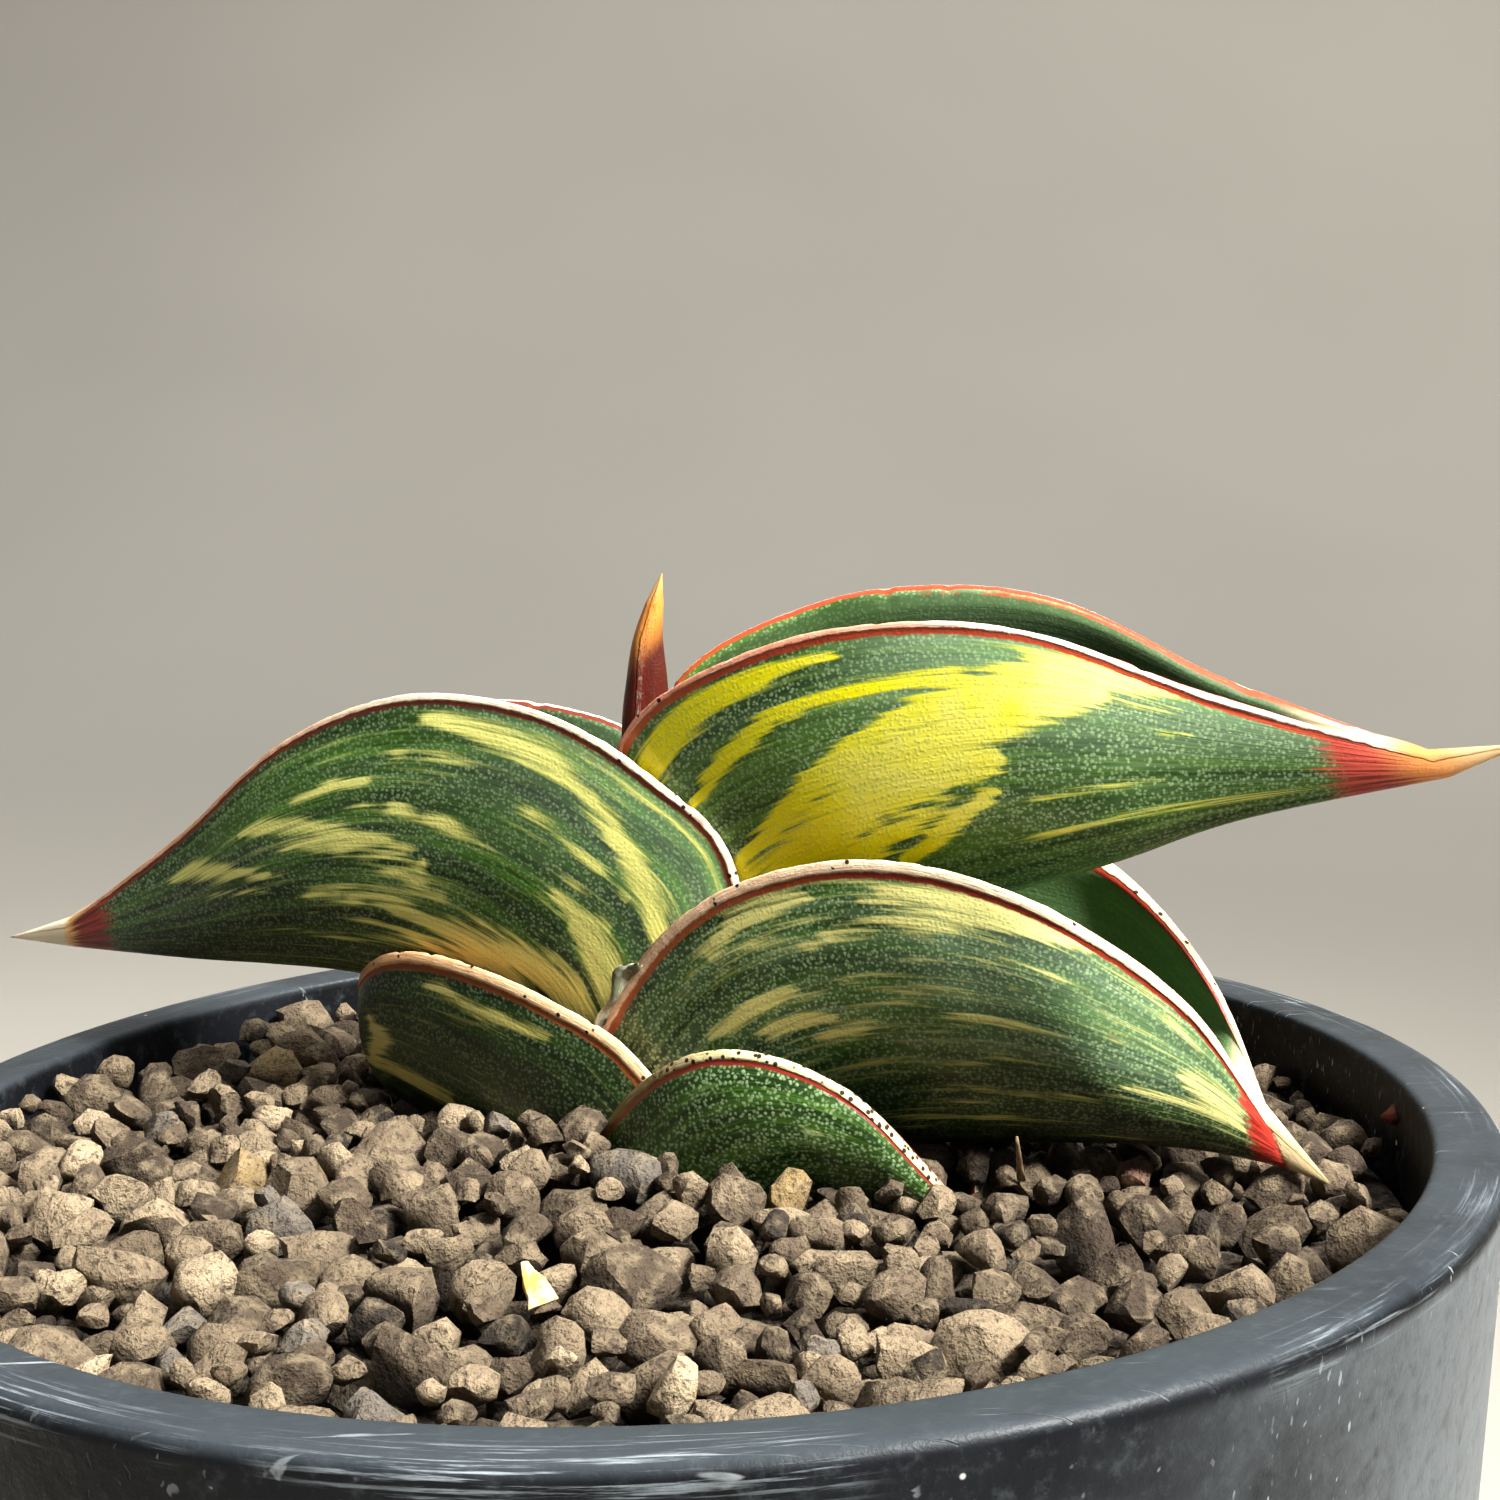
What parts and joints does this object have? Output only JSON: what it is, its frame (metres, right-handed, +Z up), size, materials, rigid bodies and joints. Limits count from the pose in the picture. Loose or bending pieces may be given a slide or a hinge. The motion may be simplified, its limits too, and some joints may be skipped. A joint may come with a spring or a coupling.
{
  "type": "potted sansevieria",
  "caption": "Fan of boat-shaped, horny-edged succulent leaves on a short rooted crown, standing in gravel in a round tapered pot.",
  "frame": {"origin": "centre of the pot's base, on the surface it stands on", "axes": "+Z up; the leaves fan out along X, and azimuth 0 looks along +Y from the side shown in the picture"},
  "size_m": [0.1196, 0.1198, 0.1296],
  "materials": {
    "pot": "matte slate grey with pale scuffs",
    "gravel": "rough porous grains",
    "root": "dull fleshy skin",
    "spear": "satin horny skin",
    "leaf_yellow": "waxy satin leaf, yellow and green",
    "leaf_striped": "waxy satin leaf, striped",
    "leaf_green": "waxy satin leaf, deep green"
  },
  "bodies": {
    "root": {"pot": "pot", "gravel": "gravel", "crown_and_roots": "root", "leaf_spear": "spear", "leaf_upper_right": "leaf_yellow", "leaf_upper_left": "leaf_striped", "leaf_lower_right": "leaf_green", "leaf_small_left": "leaf_green", "leaf_small_right": "leaf_green"}
  },
  "joints": []
}
